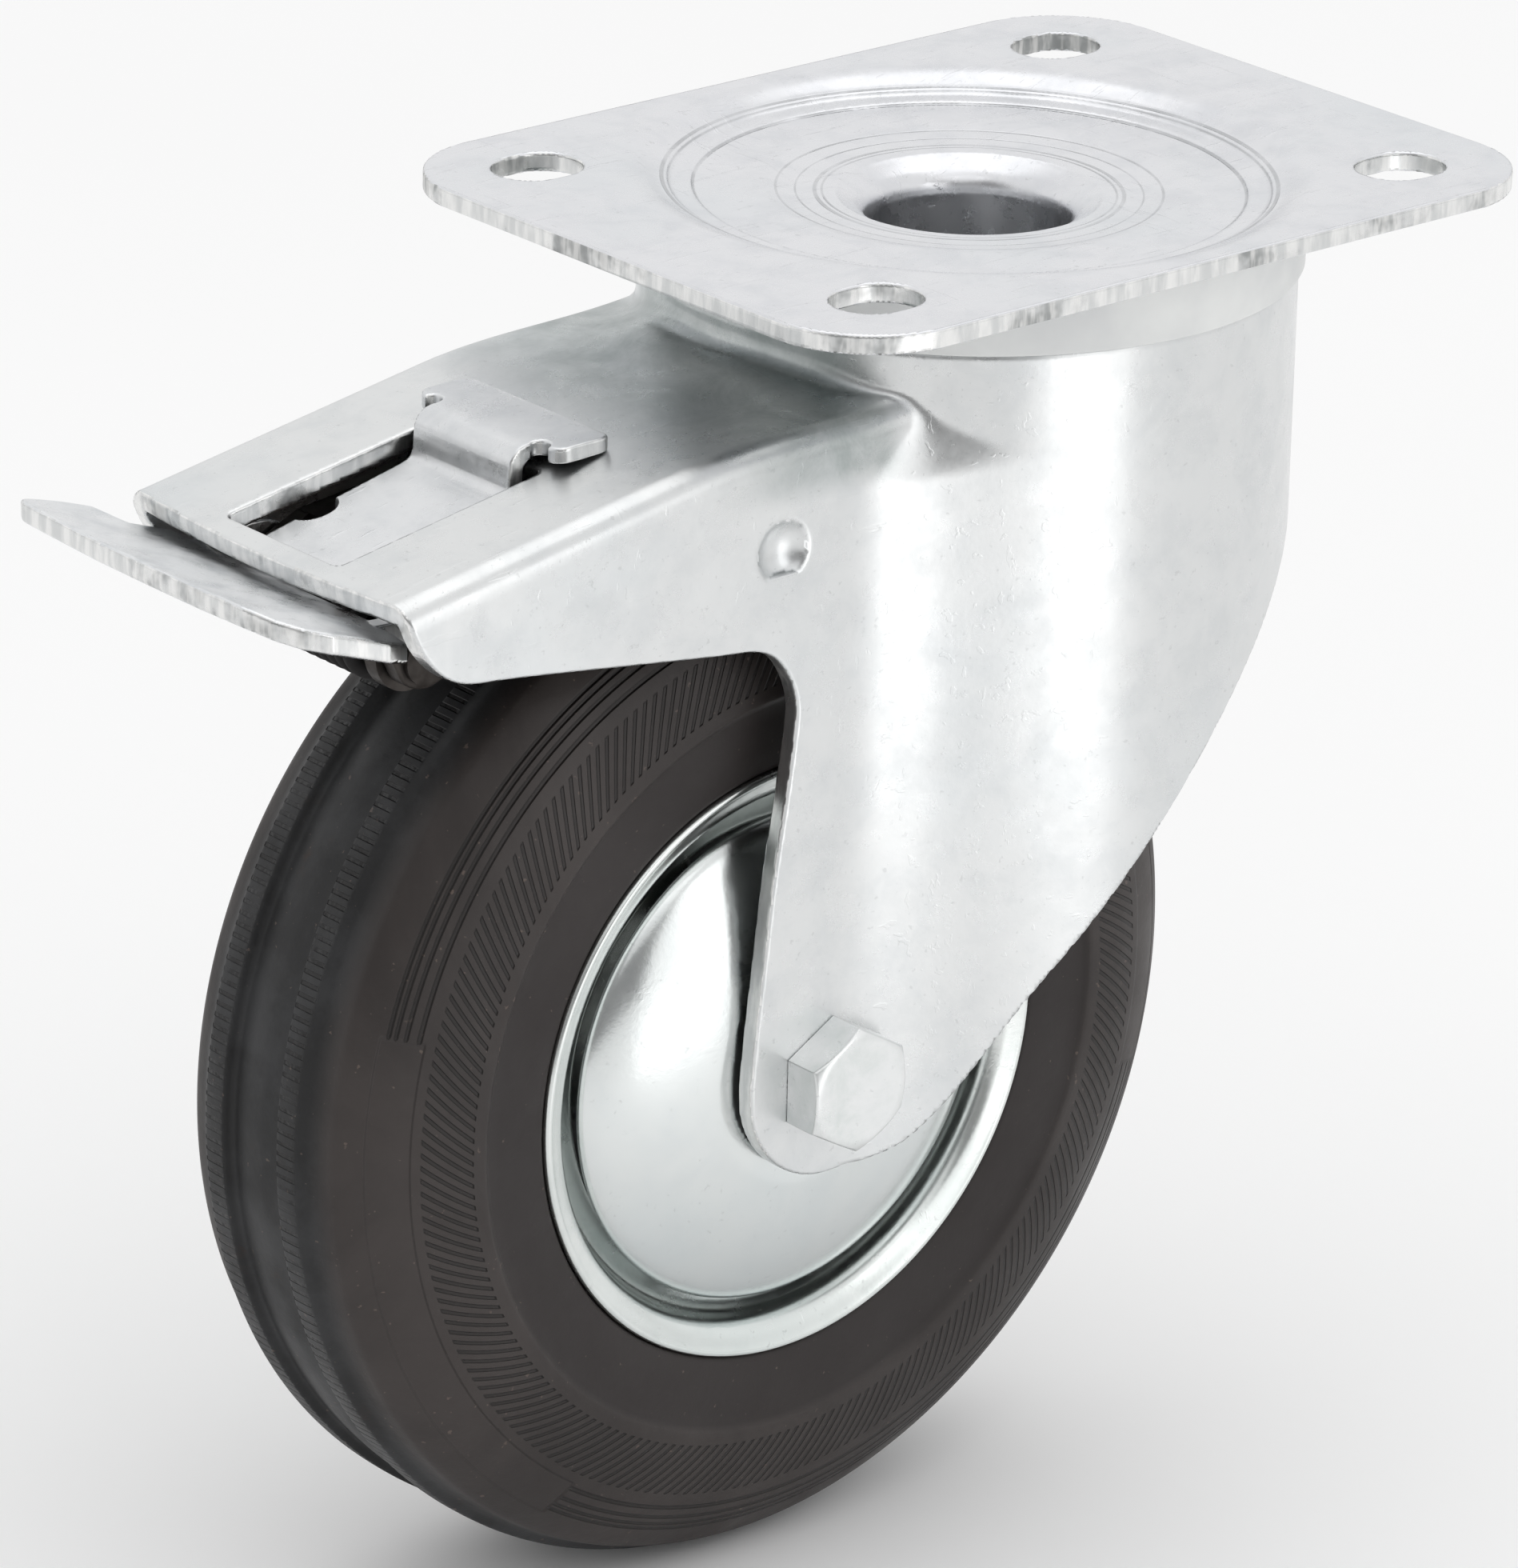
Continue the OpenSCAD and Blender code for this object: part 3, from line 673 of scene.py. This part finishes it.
def fork_outline():
    """Side view of the whole pressing: nose, snout, leg, rounded end and shroud edge."""
    nose = [(-100.4, -14), (-100.4, -23.9)]
    under = curve([(-100.35, -24.6), (-99.8, -26.5), (-98.1, -29.6), (-95.4, -32.1),
                   (-91.7, -33.6), (-86, -34.3), (-78.6, -35.3), (-67.6, -36.9), (-56.4, -38.5),
                   (-51.4, -39.15), (-48.3, -40.6), (-46.2, -43.3), (-45.1, -46.6),
                   (-45.3, -50.5), (-46.3, -57.5), (-47.8, -66.6), (-48.9, -75.8),
                   (-50.0, -85.1), (-50.6, -91.5)], 5)
    tip = [(AXLE_X + 11.6 * math.cos(a), AXLE_Z + 11.6 * math.sin(a))
           for a in np.radians(np.arange(190, 281, 7.5))]
    rear = curve([(-34.4, -103.9), (-31.2, -103.2), (-28.6, -101.7), (-25.6, -98.5),
                  (-23, -94.9), (-16.9, -85.6), (-11.9, -79.4), (-7.2, -73.8), (-3.1, -68.9),
                  (3.9, -60.9), (10.9, -53.6), (18.6, -46.6), (26.2, -40.3), (32, -36),
                  (40, -31)], 4)
    return nose + under + tip + rear + [(40, 0), (-40, 0)]


def snout_drop(x, ay):
    """How far the snout's top is drawn down towards its sides where it meets the crown."""
    return 3.3 * ramp(x, -60.0, -27.0) * ramp(ay, 5.0, 25.0)


def snout_window(x, ay, z):
    """The window's outline in the snout's top, rounded at its corners."""
    along = (x - NOSE_X) * math.cos(SLOPE) + (z - NOSE_Z) * math.sin(SLOPE)
    return round_max(ay - WINDOW_HALF, np.abs(along - WINDOW_MIDDLE) - WINDOW_REACH, 1.0)


def above_snout(x, z):
    return (z - NOSE_Z) * math.cos(SLOPE) - (x - NOSE_X) * math.sin(SLOPE)


def dimple(x, ay, z):
    """Bowl pressed in from outside over the lever's pivot, cut flat at its foot."""
    pivot = np.hypot(x - DIMPLE_X, z - DIMPLE_Z)
    bowl = np.hypot(pivot, ay - LEG_HALF - 2.6) - 4.4
    step = np.maximum(pivot - DIMPLE_R, LEG_HALF - 0.28 - ay)
    return np.maximum(np.minimum(bowl, step), DIMPLE_Z - DIMPLE_FOOT - z)


def bowed(x, y):
    """x measured from the snout's slightly bowed front edge."""
    return x - 1.2 * (y / 22.0) ** 2 * ramp(x, -88.0, -97.0)


def fork_parts():
    """The fork's field, and the test that finds its sheared edges."""
    outline = tabulated(fork_outline())

    def field(x, y, z):
        ay = np.abs(y)
        above = above_snout(x, z)
        top = above + snout_drop(x, ay)
        box = np.maximum(round_max(ay - LEG_HALF, top, BEND_R), x + 5.0)
        wall = round_max(np.hypot(x, y) - CROWN_R, z - CROWN_TOP, SHOULDER_R)
        blend = 2.2 - 1.3 * ramp(ay, 14.0, 23.0) + 8.0 * ramp(-top, 0.8, 9.0)
        outer = soft_min(box, wall, blend)
        shell = round_max(outer, -(outer + SHEET), EDGE_R)
        shape = round_max(shell, outline(bowed(x, y), z), EDGE_R)
        shape = np.maximum(shape, CROWN_BORE - np.hypot(x, y))
        window = np.maximum(snout_window(x, ay, z), -above - 7.0)
        shape = round_max(shape, -window, EDGE_R)
        pivot = np.hypot(x - DIMPLE_X, z - DIMPLE_Z)
        boss = round_max(pivot - 3.0, np.abs(ay - 21.7) - 1.5, 0.3)
        shape = np.minimum(shape, boss)
        return soft_max(shape, -dimple(x, ay, z), 0.45)

    def cut(p, normal):
        x, y, z = p.T
        edge = np.abs(outline(bowed(x, y), z)) < 0.3
        edge &= np.abs(normal[:, 1]) < 0.6
        edge &= ~((above_snout(x, z) > -0.4) & (normal[:, 2] > 0.7))
        hole = np.abs(snout_window(x, np.abs(y), z)) < 0.3
        hole &= (above_snout(x, z) > -SHEET - 0.3) & (np.abs(normal[:, 2]) < 0.7)
        return edge | hole

    return field, cut


# ---------------------------------------------------------------- spring leaf


def leaf_field():
    """Leaf in the window, its riser, and the T-shaped hook over the window's rear edge."""
    top = curve([snout_point(s, w) for s, w in (
        (6.9, -3.4), (14, -2.95), (22, -2.5), (26.4, -2.2), (27.6, -1.5), (28.1, 0.2),
        (28.6, 1.7), (29.7, 2.65), (31.4, 2.85), (35, 2.5), (39.0, 1.85), (39.6, 1.5))], 5)
    bottom = curve([snout_point(s, w) for s, w in (
        (39.5, 0.02), (35, 0.55), (31.8, 1.0), (30.4, 0.5), (29.9, -1), (29.7, -3.6),
        (29, -4.0), (22, -4.3), (6.9, -5.2))], 5)
    section = tabulated(top + bottom)

    def field(x, y, z):
        ay = np.abs(y)
        neck = np.maximum(ay - 8.4, x + 67.0)
        head = round_max(ay - 12.4, np.abs(x + 65.3) - 3.9, 1.8)
        notch = 1.15 - np.hypot(x + 69.3, ay - 9.4)
        gap = 2.8 - np.hypot(x + 86.0, y - 9.0)
        plan = np.maximum(np.maximum(np.minimum(neck, head), notch), gap)
        return round_max(section(x, z) + 0.0 * y, plan, 0.3)

    return field


# ---------------------------------------------------------------- pedal


def in_shade(p, normal):
    """Faces of the pedal's two cheeks below the blade, painted near black as shade."""
    blade_foot = PEDAL_Z - PEDAL_SLOPE * (p[:, 0] - PEDAL_X) - PEDAL_T - 0.4
    return (p[:, 0] > PEDAL_X) & (p[:, 2] < blade_foot)


def pedal_field():
    """Pedal blade with its rounded free edge, and the two cheeks on its pin."""
    plan = tabulated([(-92, -19.6), (-99, -21.5), (-106.5, -21.5), (-109.5, -20.4),
                      (-112, -18.2), (-113.6, -15), (-114.2, -8), (-114.3, 0), (-114, 10),
                      (-113, 20), (-112.2, 26), (-111.2, 27.6), (-109.6, 28), (-101.4, 28),
                      (-101.2, 21.6), (-92, 21.2)])
    cheek = tabulated(curve([(-97.5, -28.2), (-94.5, -28.1), (-90.5, -26.9), (-86.8, -27.4),
                             (-85.2, -29.4), (-85.8, -33.2), (-87.6, -35.7), (-90.4, -36.7),
                             (-93.2, -35.6), (-94.7, -33.0), (-96.2, -30.2)], 4, closed=True))
    lean = math.atan(PEDAL_SLOPE)

    def field(x, y, z):
        droop = 0.5 * ramp(x, -104.0, -115.0) + 0.7 * ramp(y, -14.0, -22.0)
        level = (z + droop - PEDAL_Z + PEDAL_SLOPE * (x - PEDAL_X)) * math.cos(lean)
        blade = np.maximum(level, -(level + PEDAL_T))
        blade = np.maximum(round_max(blade, plan(x, y), 0.5), x + 96.0)
        ears = round_max(cheek(x, z), np.abs(np.abs(y) - CHEEK_MIDDLE) - CHEEK_HALF, 0.3)
        return np.minimum(blade, ears)

    return field


# ---------------------------------------------------------------- bolt and nut


def hex_field(base, height, outwards, both=False):
    """Hexagon about the axle from base, chamfered at its outer face, or at both."""
    lean = math.radians(30)

    def field(x, y, z):
        px, pz = x - AXLE_X, z - AXLE_Z
        sides = np.abs(px)
        for a in (60, 120):
            t = math.radians(a)
            sides = np.maximum(sides, np.abs(px * math.cos(t) + pz * math.sin(t)))
        up = (y - base) * outwards
        body = round_max(sides - HEX_HALF, np.abs(up - height / 2) - height / 2, 0.22)
        r = np.hypot(px, pz)
        cone = (r - HEX_HALF + 0.15) * math.sin(lean) + (up - height) * math.cos(lean)
        body = soft_max(body, cone, 0.3)
        if both:
            cone = (r - HEX_HALF) * math.sin(lean) - up * math.cos(lean)
            body = soft_max(body, cone, 0.3)
        return body

    return field


def thread_profile(start, end, pitch=1.25, root=3.45, crest=3.95):
    """Section of a threaded end with plain rings for turns, (radius, y)."""
    points = [(0.02, start), (root, start)]
    y = start
    while y + pitch < end - 1.0:
        points += [(root, y + 0.15), (crest, y + 0.5), (crest, y + 0.7), (root, y + 1.05)]
        y += pitch
    points += [(root, end - 0.9), (root - 0.7, end), (0.02, end)]
    return points


# ---------------------------------------------------------------- wheel


def tyre_half():
    """Section of the tyre from the middle of the tread to the rim seat, (radius, y)."""
    tread = curve([(61.75, 0), (61.7, 1.2), (61.45, 2.8), (61.3, 4.0), (61.6, 4.5), (62.35, 4.85),
                   (62.5, 5.3), (62.45, 7.6), (62.2, 8.2), (61.4, 8.9), (60.95, 9.9),
                   (60.75, 10.9), (60.55, 11.8)], 3)
    sweep = [(42.5 + 20 * math.cos(a), 7 + 11.75 * math.sin(a))
             for a in np.radians(np.arange(27, 82, 3))]
    step = [(45.0, 18.66), (44.5, 18.7), (44.2, 18.62), (43.95, 18.35), (43.5, 18.2)]
    seat = [(42.0, 18.2), (39, 18.15), (36.3, 18.0), (35.85, 17.85), (35.62, 17.4), (35.6, 17.05),
            (33.2, 16.3), (31.8, 15), (31.3, 12.9), (28.6, 10.4), (28.25, 9.2)]
    return tread + sweep + step + seat


def tyre_profile():
    """The whole section: one half and its mirror."""
    half = tyre_half()
    return half + [(r, -y) for r, y in reversed(half[1:])]


# sections of the other turned and pressed rings: (radius, y), and (radius, z) for the seal
RIM_OUT = [(28.15, 0.06), (28.15, 9.2), (28.5, 10.5), (31.2, 13.0), (31.7, 15.1), (33.1, 16.4),
           (35.5, 17.2), (35.55, 17.7)]
RIM_LIP = [(35.5, 18.0), (35.3, 18.3), (34.9, 18.35), (34.4, 18.1), (33.2, 17.6), (32.4, 17.0),
           (31.8, 16.0), (31.4, 14.6), (30.6, 13.5), (29.2, 13.0), (27.6, 12.6), (26.8, 11.4),
           (26.6, 9.0)]
RIM_WEB = [(26.6, 1.6), (14.6, 1.55), (14.6, 16), (13.2, 16), (13.2, 0.06)]
COVER_OUT = [(10.0, 21.6), (13.0, 21.55), (14.2, 21.45), (17, 21.0), (20, 20.35), (23.2, 19.4),
             (26, 18.3), (27.8, 17.4), (28.8, 16.6), (29.2, 15.9)]
COVER_IN = [(29.1, 15.5), (28.6, 15.4), (27.4, 16.3), (25.6, 17.3), (22.8, 18.4), (19.7, 19.3),
            (15, 20.3), (13.2, 20.6), (10.0, 20.6)]
SEAL = [(33, -9.15), (33, -8.4), (36.7, -8.4), (36.9, -8.2), (36.9, -3.3), (37.1, -3.05),
        (37.75, -3.05), (37.98, -3.3), (38, -9.35), (37.85, -9.65), (37.5, -9.65),
        (37.0, -9.3), (36.6, -9.15)]
WASHER = [(4.2, 24.72), (4.2, 26.25), (7.8, 26.25), (8.0, 26.05), (8.0, 24.92), (7.8, 24.72)]


def on_side(points, side):
    """A half's section placed on the near (-1) or far (1) side."""
    return [(r, side * y) for r, y in points]


# ---------------------------------------------------------------- build

plate_zinc = zinc("plate_zinc", light=(0.75, 0.755, 0.775, 1), dark=(0.68, 0.69, 0.715, 1),
                  rough=(0.22, 0.34), scratches=0.9, rings=PLATE_RINGS)
# the fork's top next to the swivel is darkened with painted shade
fork_zinc = zinc("fork_zinc", swivel_shade=0.65)
leaf_zinc = zinc("leaf_zinc", light=(0.74, 0.75, 0.76, 1), dark=(0.66, 0.675, 0.69, 1),
                 rough=(0.24, 0.38), scratches=0.8)
rim_zinc = zinc("rim_zinc", light=(0.76, 0.785, 0.77, 1), dark=(0.69, 0.725, 0.71, 1),
                film=(0.64, 0.71, 0.70, 1), rough=(0.20, 0.28), scratches=0.3)
cover_zinc = zinc("cover_zinc", light=(0.75, 0.775, 0.77, 1), dark=(0.715, 0.745, 0.745, 1),
                  film=(0.67, 0.73, 0.745, 1), rough=(0.18, 0.24), scratches=0.12)
bolt_zinc = zinc("bolt_zinc", light=(0.83, 0.84, 0.84, 1), dark=(0.72, 0.75, 0.74, 1),
                 rough=(0.26, 0.40), scratches=0.3)
dull_steel = steel("dull_steel", (0.55, 0.56, 0.56, 1), (0.40, 0.41, 0.42, 1), (0.32, 0.5))
ball_steel = steel("ball_steel", (0.75, 0.75, 0.76, 1), (0.62, 0.62, 0.63, 1), (0.12, 0.2))
pedal_zinc = zinc("pedal_zinc", light=(0.80, 0.81, 0.82, 1), dark=(0.62, 0.64, 0.66, 1),
                  rough=(0.24, 0.40), scratches=1.0)
rubber = tyre_rubber()
grey_seal = seal_plastic()
rusty = rust_brown()
# painted shade: near-black steel for the brake lever, shoe and pedal pin and the cheeks' lower part,
# which sit in shade
shade_dark_steel = steel("shade_dark_steel", (0.060, 0.054, 0.050, 1), (0.025, 0.021, 0.019, 1), (0.4, 0.6))

edge_zinc = cut_zinc("edge_zinc")

plate = field_mesh("top_plate_skin", plate_field(), (-53.6, -42.1, -21.7), (53.6, 42.1, 1.1), 0.42)
put(cut_faces(plate, (plate_edge, edge_zinc)), "mounting", plate_zinc, "zinc_sheet", "top_plate")
fork_shape, fork_cut = fork_parts()
fork = field_mesh("fork_skin", fork_shape, (-101.6, -38.6, -105.3), (38.6, 38.6, -8.1), 0.45)
put(cut_faces(fork, (fork_cut, edge_zinc)), "fork", fork_zinc, "zinc_sheet", "fork")
leaf = field_mesh("spring_leaf_skin", leaf_field(), (-95, -13.2, -30), (-60, 13.2, -13), 0.26)
put(cut_faces(leaf, (side_cut, edge_zinc)), "fork", leaf_zinc, "zinc_sheet", "spring_leaf")
blade = field_mesh("pedal_skin", pedal_field(), (-115.2, -22.6, -38), (-83, 28.9, -19.8), 0.3)
# the cheeks' faces below the blade get the near-black steel of painted shade
blade = cut_faces(blade, (steep, edge_zinc), (in_shade, shade_dark_steel))
put(blade, "pedal", pedal_zinc, "zinc_sheet", "brake_pedal")
put(field_mesh("bolt_head", hex_field(-LEG_HALF, HEAD_H, -1), (-47.5, -30.6, -101),
               (-30.5, -24.1, -84), 0.2), "fork", bolt_zinc, "fastener")
put(field_mesh("nut_body", hex_field(NUT_FACE, NUT_H, 1, True), (-47.5, 25.7, -101),
               (-30.5, 34.9, -84), 0.25), "fork", bolt_zinc, "fastener", "axle_nut")
put(lathe("bolt_thread", thread_profile(NUT_FACE + NUT_H - 1, 35.9), 96), "fork", bolt_zinc,
    "fastener", "axle_bolt")
put(lathe("washer_ring", WASHER, 128), "fork", bolt_zinc, "fastener", "bolt_washer")
put(lathe("tyre_body", tyre_profile(), 360, crease=60), "wheel", rubber, "tyre", "tyre")
for side, end in ((-1, "near"), (1, "far")):
    rim = RIM_OUT + curve(RIM_LIP, 3) + RIM_WEB
    put(lathe(f"rim_{end}_pressing", on_side(rim, side), 256), "wheel", rim_zinc, "zinc_sheet",
        f"rim_{end}")
    cover = curve(COVER_OUT, 3) + curve(COVER_IN, 2)
    put(lathe(f"cover_{end}_dome", on_side(cover, side), 256, crease=50), "wheel", cover_zinc,
        "zinc_sheet", f"cover_{end}")
put(lathe("dust_seal_ring", SEAL, 256, about_axle=False), "fork", grey_seal, "seal", "dust_seal")

CAD_LOOKS = {
    "kingpin_cup": dull_steel, "lock_ring": dull_steel, "upper_balls": ball_steel,
    "lower_balls": ball_steel, "axle_sleeve": dull_steel, "rim_rivets": dull_steel,
    "hub_tube": dull_steel, "roller_cage": dull_steel, "rollers": ball_steel,
    "brake_lever": shade_dark_steel, "brake_shoe": shade_dark_steel, "lock_tooth": dull_steel,
    "pedal_pin": shade_dark_steel, "pedal_spring": rusty,
}
for node, material in CAD_LOOKS.items():
    mesh = frame["nodes"][node].data
    mesh.materials.clear()
    mesh.materials.append(material)

# ---------------------------------------------------------------- stage, light and camera


def paint(name, color, rough):
    """Matt paint with a barely visible unevenness."""
    n = Nodes(name, 0.0, rough, 0.2)
    shade = n.mix(n.span(n.noise(3, 2), 0.3, 0.7, 0, 1), color, [c * 0.985 for c in color[:3]] + [1])
    return n.done(shade)


# the floor's half size and its height, in metres
FLOOR_SIZE, FLOOR_Z = 4.0, -0.155


def floor():
    mesh = bpy.data.meshes.new("floor")
    size, z = FLOOR_SIZE, FLOOR_Z
    mesh.from_pydata([(-size, -size, z), (size, -size, z), (size, size, z), (-size, size, z)], [],
                     [(0, 1, 2, 3)])
    mesh.materials.append(paint("floor_paint", (0.95, 0.95, 0.95, 1), 0.8))
    obj = bpy.data.objects.new("floor", mesh)
    bpy.context.collection.objects.link(obj)


def area_light(name, place, target, size, power):
    """Rectangular light at a place, facing a target, in metres and watts."""
    light = bpy.data.lights.new(name, "AREA")
    light.shape = "RECTANGLE"
    light.size, light.size_y = size
    light.energy = power
    obj = bpy.data.objects.new(name, light)
    obj.location = place
    look = Vector(target) - Vector(place)
    obj.rotation_euler = look.to_track_quat("-Z", "Y").to_euler()
    bpy.context.collection.objects.link(obj)


# brightness of the studio by the sine of the height above the horizon
SKY = ((0.0, 0.78), (0.15, 0.92), (0.35, 0.98), (0.55, 0.95), (0.75, 0.95), (1.0, 0.95))
# the viewer's own side of the studio is unlit: its direction, and how dark it is
DARK_SIDE, DARK_LEVEL = (-0.65, -0.76, 0.0), 0.30


def sky_levels(tree, place):
    """Brightness by height, as a color socket."""
    split = tree.nodes.new("ShaderNodeSeparateXYZ")
    levels = tree.nodes.new("ShaderNodeValToRGB")
    tree.links.new(place, split.inputs[0])
    tree.links.new(split.outputs["Z"], levels.inputs["Fac"])
    stops = levels.color_ramp.elements
    while len(stops) < len(SKY):
        stops.new(0.5)
    for stop, (height, level) in zip(stops, SKY):
        stop.position = height
        stop.color = (level, level, level, 1)
    return levels.outputs["Color"]


def viewer_shade(tree, place):
    """Share of light left towards the unlit side, 1 elsewhere."""
    toward = tree.nodes.new("ShaderNodeVectorMath")
    toward.operation = "DOT_PRODUCT"
    tree.links.new(place, toward.inputs[0])
    toward.inputs[1].default_value = DARK_SIDE
    shade = tree.nodes.new("ShaderNodeMapRange")
    shade.interpolation_type = "SMOOTHSTEP"
    for name, value in (("From Min", 0.45), ("From Max", 0.88), ("To Min", 1.0),
                        ("To Max", DARK_LEVEL)):
        shade.inputs[name].default_value = value
    tree.links.new(toward.outputs["Value"], shade.inputs["Value"])
    return shade.outputs["Result"]


def world():
    """White studio tent all round, open and darker on the viewer's side."""
    studio = bpy.data.worlds.new("studio")
    bpy.context.scene.world = studio
    studio.use_nodes = True
    tree = studio.node_tree
    background = tree.nodes["Background"]
    place = tree.nodes.new("ShaderNodeTexCoord").outputs["Generated"]
    scaled = tree.nodes.new("ShaderNodeVectorMath")
    scaled.operation = "SCALE"
    tree.links.new(sky_levels(tree, place), scaled.inputs[0])
    tree.links.new(viewer_shade(tree, place), scaled.inputs["Scale"])
    tree.links.new(scaled.outputs["Vector"], background.inputs["Color"])
    background.inputs["Strength"].default_value = 1.0


# camera: its angles, and in mm its distance, its aim, and the aim's shift across and up
CAMERA_AZIMUTH, CAMERA_ELEVATION, CAMERA_ROLL = map(math.radians, (-40.61, 21.67, 1.19))
CAMERA_DISTANCE = 995.08
CAMERA_FOV = math.radians(10.26)
CAMERA_AIM = Vector((-20, 0, -75))
AIM_SHIFT = (-6.95, 4.84)


def camera():
    """Camera on a sphere round its aim, rolled a little, in mm."""
    a, e, roll = CAMERA_AZIMUTH, CAMERA_ELEVATION, CAMERA_ROLL
    back = Vector((math.sin(a) * math.cos(e), -math.cos(a) * math.cos(e), math.sin(e)))
    level = Vector((math.cos(a), math.sin(a), 0))
    up = back.cross(level)
    right = math.cos(roll) * level + math.sin(roll) * up
    top = math.cos(roll) * up - math.sin(roll) * level
    eye = CAMERA_AIM + AIM_SHIFT[0] * right + AIM_SHIFT[1] * top + back * CAMERA_DISTANCE
    data = bpy.data.cameras.new("camera")
    data.sensor_fit = "VERTICAL"
    data.angle = CAMERA_FOV
    data.clip_end = 20
    obj = bpy.data.objects.new("camera", data)
    turn = Matrix((right, top, back)).transposed().to_4x4()
    obj.matrix_world = Matrix.Translation(eye * MM) @ turn
    bpy.context.collection.objects.link(obj)
    bpy.context.scene.camera = obj


floor()
world()
area_light("key", (-0.9, -1.3, 1.5), (0, 0, -0.05), (1.4, 1.4), 3)
area_light("top", (0.3, 0.2, 1.6), (0, 0, -0.05), (1.6, 1.6), 3.8)
area_light("panel", (-0.012, -0.245, -0.02), (-0.012, 0, -0.04), (0.12, 0.27), 0.085)
camera()
bpy.context.scene.view_settings.view_transform = "Standard"
